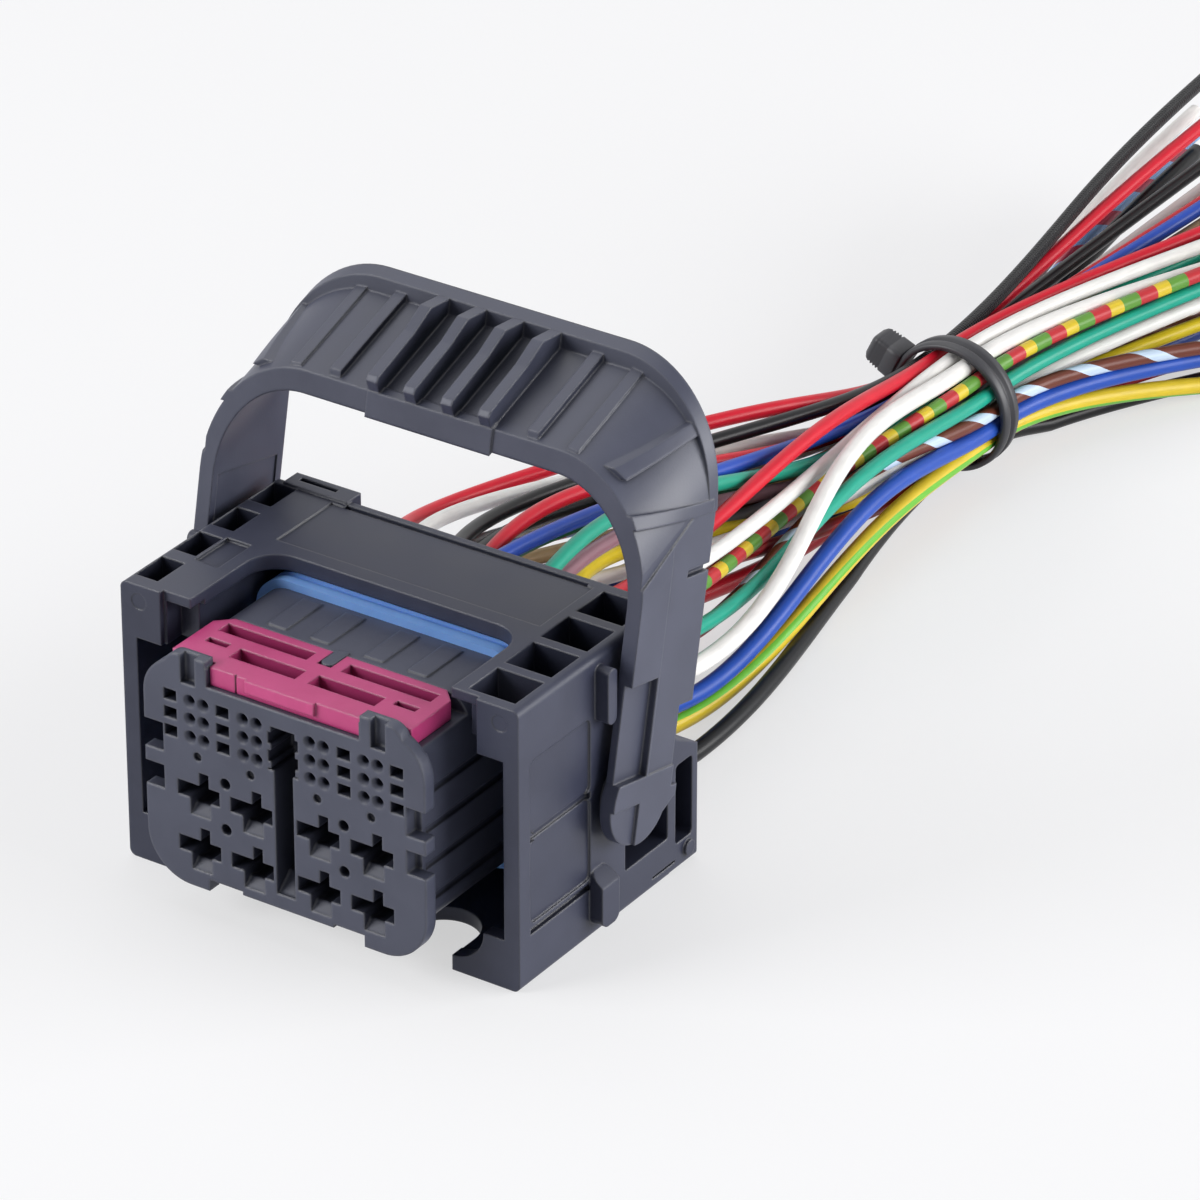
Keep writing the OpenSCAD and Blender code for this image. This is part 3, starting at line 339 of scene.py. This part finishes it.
def wire_piece(name, line, radius, skin, core):
    """A round tube along the line, ring by ring, from a flat start to its cut end. Its uv holds the millimetres
    along the wire and the share of the turn round it."""
    ahead = np.gradient(line, axis=0)
    ahead /= np.linalg.norm(ahead, axis=1)[:, None]
    side = np.cross(ahead, [0, 0, 1.0])
    side /= np.linalg.norm(side, axis=1)[:, None]
    over = np.cross(side, ahead)
    around = CIRCLE[:, :1] * side[:, None] + CIRCLE[:, 1:] * over[:, None]
    rings, tip = cut_end(line[-1], ahead[-1], around[-1], radius)
    tube = np.concatenate([line[:, None] + radius * around, rings])
    points = np.concatenate([tube.reshape(-1, 3), line[:1], [tip]])
    last = (len(tube) - 1) * SIDES
    k = np.arange(SIDES)
    after = (k + 1) % SIDES
    quads = grid_faces(len(tube), SIDES)[:, ::-1]
    start = np.stack([k, after, np.full(SIDES, len(points) - 2)], 1)
    close = np.stack([last + after, last + k, np.full(SIDES, len(points) - 1)], 1)
    faces = quads.tolist() + start.tolist() + close.tolist()
    far = np.concatenate([[0], np.cumsum(np.linalg.norm(np.diff(line, axis=0), axis=1))])
    far = np.concatenate([far, far[-1] + radius * np.arange(1, len(rings) + 1) * 0.1]) / MM
    i, j = np.meshgrid(np.arange(len(tube) - 1), k, indexing="ij")
    uv = np.stack([np.stack([far[i + di], (j + dj) / SIDES], -1)
                   for di, dj in ((1, 0), (1, 1), (0, 1), (0, 0))], 2).reshape(-1, 2)
    uv = np.concatenate([uv, np.zeros((6 * SIDES, 2))])
    made = mesh_piece(name, points, faces, [skin, core], uv)
    slots = np.zeros(len(faces), "i")
    slots[(len(line) + 1) * SIDES:last] = 1
    slots[-SIDES:] = 1
    made.data.polygons.foreach_set("material_index", slots)
    return made


def insulation(name, bands, repeat, turns, sleeve=None):
    """Extruded PVC: a thin satin skin with faint extrusion streaks that stretch the highlight along the wire.
    bands is a list of the shares of the repeat where a colour starts, with the colour; the pattern repeats in so
    many millimetres along the wire and turns round it, at the fraction of along / repeat + around * turns. A sleeve
    is a fine braid from so many millimetres on."""
    material, tree = new_material("pvc_" + name)
    at = add(tree, "ShaderNodeUVMap", uv_map="along_around").outputs[0]
    along, round_ = add(tree, "ShaderNodeSeparateXYZ", {0: at}).outputs[:2]
    share = add(tree, "ShaderNodeMath", {0: along}, {1: 1 / repeat}, operation="MULTIPLY").outputs[0]
    turned = add(tree, "ShaderNodeMath", {0: round_, 2: share}, {1: turns}, operation="MULTIPLY_ADD").outputs[0]
    place = add(tree, "ShaderNodeMath", {0: turned}, operation="FRACT").outputs[0]
    ramp = add(tree, "ShaderNodeValToRGB", {0: place})
    stops = ramp.color_ramp.elements
    ramp.color_ramp.interpolation = "CONSTANT"
    stops[1].color = linear(bands[0][1])
    for i, (start, colour) in enumerate(bands):
        stop = stops[i] if i < 2 else stops.new(start)
        stop.position, stop.color = start, linear(colour)
    # streaks 4 mm long and 14 round the wire
    streak_map = add(tree, "ShaderNodeMapping", {0: at}, {"Scale": (0.25, 14, 1)}).outputs[0]
    streak = add(tree, "ShaderNodeTexNoise", {"Vector": streak_map}, {"Scale": 1.0, "Detail": 2}).outputs["Fac"]
    wave = add(tree, "ShaderNodeTexNoise", {"Vector": at}, {"Scale": 0.11, "Detail": 1}).outputs["Fac"]
    normal = relief(tree, streak, 0.12, 0.1 * MM)
    if sleeve:
        # braid of two crossing strands, 1.3 mm long and 12 round the wire, coarser than the real 0.6 mm
        strands = []
        for way in (12, -12):
            lay = add(tree, "ShaderNodeVectorMath", {0: at}, {1: (2 * math.pi / 1.3, 2 * math.pi * way, 0)},
                      operation="DOT_PRODUCT").outputs["Value"]
            strands.append(add(tree, "ShaderNodeMath", {0: lay}, operation="SINE").outputs[0])
        braid = add(tree, "ShaderNodeMath", dict(enumerate(strands)), operation="MULTIPLY").outputs[0]
        begun = add(tree, "ShaderNodeMath", {0: along}, {1: sleeve}, operation="GREATER_THAN").outputs[0]
        weave = add(tree, "ShaderNodeMath", {0: braid, 1: begun}, operation="MULTIPLY").outputs[0]
        normal = relief(tree, weave, 0.7, 0.12 * MM, normal)
    surface(tree, {
        "Base Color": tinted(tree, ramp.outputs[0], rescale(tree, streak, 0.92, 1.06, start=0.3, stop=0.7)),
        "Roughness": rescale(tree, wave, 0.27, 0.43),
        "Normal": normal,
    }, {"IOR": 1.53, "Specular IOR Level": 0.24})
    return material


# drawn copper at the cuts: bright strands, a little dulled
DULLED = 0.4 * MM
copper, copper_tree = new_material("drawn_copper")
copper_at = add(copper_tree, "ShaderNodeTexCoord").outputs["Object"]
copper_dull = add(copper_tree, "ShaderNodeTexNoise", {"Vector": copper_at},
                  {"Scale": 1 / DULLED, "Detail": 2}).outputs["Fac"]
surface(copper_tree, {"Roughness": rescale(copper_tree, copper_dull, 0.22, 0.5)},
        {"Base Color": linear("#c98257"), "Metallic": 1.0})

# bands as the share of the repeat where each colour starts
RED, DEEP_RED, WHITE, BLACK = "#d41c31", "#a81825", "#efede9", "#0c0d11"
BANDS = {
    "banded": [(0, "#dcc036"), (0.28, "#63973d"), (0.64, "#c0343a")],
    "sky_b": [(0, "#86b4e6"), (0.58, "#b02a4c")],
    "brown_white": [(0, "#6a3527"), (0.68, "#c6d8ec")],
    "yellow_green": [(0, "#dcc032"), (0.29, "#6dbb3a"), (0.42, "#dcc032")],
}
# millimetres between repeats along the wire and turns of the pattern round it
REPEAT = {"banded": (10.0, 0.0), "sky_b": (13.0, 1.0), "brown_white": (14.0, 1.0), "yellow_green": (420.0, 1.0)}
# millimetres along the wire where a braided sleeve starts
SLEEVE = {"black_c": 166}
# name, colour if plain, column, row, ring, slot, then as (x, z) in millimetres the early bow, the late bow and the
# run behind the tie
WIRES = [
    ("red_c", RED, 0, 0, 2, 12, (-19.7, -8.9), (3.8, 6.7), (0.5, 4.8)),
    ("white_c", WHITE, 1, 0, 1, 7, (-16, -5.9), (4.5, 4.9), (2.7, 3.2)),
    ("black_c", BLACK, 2, 0, 2, 11, (-14.8, -5.3), (3.1, 3.1), (-3.3, 5.5)),
    ("blue_b", "#2a4fb4", 3, 0, 1, 5, (-0.1, -0.2), (1.1, 0.9), (6, 3.1)),
    ("white_d", WHITE, 4, 0, 1, 2, (-6.3, -9.4), (1.9, -0.2), (15.3, 3.7)),
    ("teal_b", "#1f9a80", 5, 0, 1, 4, (-4.6, 2.9), (-0.4, -3.2), (12.3, 3.2)),
    ("red_a", RED, 6, 0, 2, 10, (-3.8, -7.2), (1.4, 4.6), (13.4, 2.1)),
    ("white_b", WHITE, 7, 0, 2, 9, (-0.1, -4.9), (-0.5, -1.4), (15.3, 2.3)),
    ("white_e", WHITE, 0, 1, 2, 14, (-3.6, -4), (0, 0.7), (-3.5, 5.2)),
    ("tan", "#c9a87e", 1, 1, 0, 1, (-0.1, -6.7), (0.2, -0.2), (7.1, 4)),
    ("black_e", BLACK, 2, 1, 2, 13, (-10.1, -2.5), (2.4, 0.4), (1.7, 2.4)),
    ("red_b", RED, 3, 1, 1, 6, (-6.9, 3.1), (3.6, 0.4), (5.8, 3.1)),
    ("dark_blue", "#243f86", 4, 1, 2, 0, (-6.9, -8.3), (3.5, 1.7), (9.1, -1.4)),
    ("mauve", "#8c6670", 5, 1, 1, 0, (-5, 2.2), (-4, 0.4), (10.9, -0.5)),
    ("yellow", "#dcc428", 6, 1, 1, 1, (-15.1, -2.9), (1.4, -1.9), (14.1, 1.4)),
    ("banded", None, 7, 1, 2, 7, (-2.3, -7.6), (-3.7, -1.4), (18.8, 5)),
    ("sky_b", None, 0, 2, 2, 15, (-4.2, -3.4), (-0.6, -0.4), (-3.8, 4.5)),
    ("grey_b", "#7b7e84", 1, 2, 1, 3, (-0.9, -7), (2.1, -0.9), (14, 4.3)),
    ("dark_green", "#1d6040", 2, 2, 0, 0, (-6.3, -0.1), (0.1, -0.1), (11.1, 4.1)),
    ("brown", "#70412c", 3, 2, 0, 2, (-2.8, -9.1), (-1.7, 1.6), (16.5, -1.8)),
    ("black_b", BLACK, 4, 2, 0, 3, (-9.2, -8.3), (0.9, 0.5), (12, 3)),
    ("dark_red", "#96161f", 5, 2, 2, 2, (-0.5, -1.9), (-0.6, -0.9), (15.2, -0.5)),
    ("brown_white", None, 6, 2, 2, 5, (-0.3, -12.5), (-3.8, 3.7), (22.3, -3.4)),
    ("teal", "#1fa188", 7, 2, 2, 6, (1.8, -8.5), (-1.3, 2.8), (16.8, 4.6)),
    ("grey", "#72757a", 0, 3, 1, 8, (-0.2, -0.1), (-0.3, 0), (3.9, 1.4)),
    ("red_d", DEEP_RED, 1, 3, 1, 9, (-0.3, -3.6), (-1.6, 0.9), (8.6, 3.6)),
    ("blue", "#264fae", 2, 3, 2, 4, (6.3, -16.1), (-0.4, 6.3), (20.6, -2.9)),
    ("white_s", WHITE, 3, 3, 2, 8, (8.5, -3.4), (-1.9, 4.4), (17.9, 1.3)),
    ("black_d", BLACK, 0, 4, 2, 16, (-0.6, 0), (-2.5, 0.7), (-4.7, 3.8)),
    ("red_low", DEEP_RED, 1, 4, 2, 17, (-0.9, -0.8), (1, -3.3), (9.1, -8.7)),
    ("yellow_green", None, 2, 4, 2, 3, (6.7, -10.3), (0.4, 2.7), (20.3, -6.9)),
    ("black_low", BLACK, 3, 4, 2, 1, (6.3, -11.3), (-0.3, -0.1), (21.1, -13.6)),
]
for name, colour, column, row, ring, slot, early, late, run in WIRES:
    line = wire_line(column, row, ring, slot, early, late, run)
    wide = POWER_D if row >= POWER_ROW else SIGNAL_D
    skin = insulation(name, BANDS.get(name, [(0, colour)]), *REPEAT.get(name, (1.0, 0.0)), SLEEVE.get(name))
    wire = wire_piece("insulated_" + name, line, wide / 2, skin, copper)
    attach(wire, "connector")
    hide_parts("wire_" + name)

# Cable tie: a moulded nylon strap drawn tight round the bundle, a channel along the middle of its outer face
# showing as a dark line, locked in a solid head with serrated sides that stands out on the upper left.
TIE_IN = 10.6 * MM
HEAD_TURN = math.radians(155)
HEAD_WIDE, HEAD_DEEP, HEAD_CORNER = 6.0 * MM, 5.6 * MM, 0.9 * MM
tie_middle = np.array([TIE[0], TIE_Y + FRONT_Y, TIE[1]])

# black nylon: dull black with a soft cloudy sheen
nylon, nylon_tree = new_material("moulded_nylon")
nylon_at = add(nylon_tree, "ShaderNodeTexCoord").outputs["Object"]
nylon_cloud = add(nylon_tree, "ShaderNodeTexNoise", {"Vector": nylon_at},
                  {"Scale": 1 / (2.5 * MM), "Detail": 3}).outputs["Fac"]
surface(nylon_tree, {
    "Base Color": two_tone(nylon_tree, nylon_cloud, "#222227", "#2f2f35"),
    "Roughness": rescale(nylon_tree, nylon_cloud, 0.38, 0.55),
    "Normal": relief(nylon_tree, nylon_cloud, 0.1, 0.1 * MM),
}, {"IOR": 1.53})


def tie_point(turn, radial, axial):
    """Point at an angle round the bundle, a distance from its middle and a place along it."""
    return tie_middle + np.stack([radial * np.cos(turn), axial + 0 * turn, radial * np.sin(turn)], -1)


def loop_profile(width, height, corner, steps=5):
    """Rounded rectangle as a closed ring of points, a quarter circle at each corner."""
    a = np.linspace(0, np.pi / 2, steps)
    quarter = np.stack([np.cos(a), np.sin(a)], 1) * corner
    turns = np.array([[[1, 0], [0, 1]], [[0, 1], [-1, 0]], [[-1, 0], [0, -1]], [[0, -1], [1, 0]]])
    middle = np.array([[1, 1], [-1, 1], [-1, -1], [1, -1]]) * (np.array([width, height]) / 2 - corner)
    return np.concatenate([middle[k] + quarter @ turns[k] for k in range(4)])


# strap: its section as places along the bundle and heights off it, carried round; the dip in the middle is the
# channel
strap_axial = np.array([-2.3, -2.3, -2.05, -1.0, -0.6, -0.4, 0.4, 0.6, 1.0, 2.05, 2.3, 2.3, 2.1, -2.1]) * MM
strap_out = np.array([0.1, 0.85, 1.1, 1.2, 1.15, 0.6, 0.6, 1.15, 1.2, 1.1, 0.85, 0.1, 0.0, 0.0]) * MM
strap_turn = np.linspace(0, 2 * np.pi, 145)[:-1]
strap_points = tie_point(strap_turn[:, None], TIE_IN + strap_out[None], strap_axial[None]).reshape(-1, 3)
# the row after the last is the first again
strap_faces = grid_faces(len(strap_turn) + 1, len(strap_axial)) % len(strap_points)
strap = mesh_piece("tie_strap", strap_points, strap_faces, nylon)
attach(strap, "connector")
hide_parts("cable_tie")

# head: a solid block over the strap, tapered a little and ringed by serrations toward its outer end; loops run
# outward, each with its distance off the strap's inner face and its share of the full section
head_off = np.array([0.8, 1.1, 3.4, 3.7, 4.0, 4.3, 4.6, 4.9, 5.2, 5.5, 5.8, 6.4, 6.9]) * MM
head_share = np.array([0.94, 1.0, 0.98, 0.88, 0.98, 0.88, 0.97, 0.87, 0.96, 0.86, 0.92, 0.84, 0.66])
section = loop_profile(HEAD_WIDE, HEAD_DEEP, HEAD_CORNER)
outward = np.array([math.cos(HEAD_TURN), 0, math.sin(HEAD_TURN)])
round_strap = np.array([-math.sin(HEAD_TURN), 0, math.cos(HEAD_TURN)])
head_plan = section[:, :1] * round_strap + section[:, 1:] * np.array([0, 1, 0])
head_axis = tie_middle + (TIE_IN + head_off)[:, None] * outward
head_loops = head_axis[:, None] + head_share[:, None, None] * head_plan
head_points = np.concatenate([head_loops.reshape(-1, 3), head_axis[[0, -1]]])
k = np.arange(len(section))
after = (k + 1) % len(section)
last = (len(head_off) - 1) * len(section)
inner, outer = (np.full(len(section), len(head_points) - n) for n in (2, 1))
head_faces = (grid_faces(len(head_off), len(section))[:, ::-1].tolist()
              + np.stack([inner, k, after], 1).tolist()
              + np.stack([outer, last + after, last + k], 1).tolist())
head = mesh_piece("tie_head", head_points, head_faces, nylon)
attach(head, "connector")
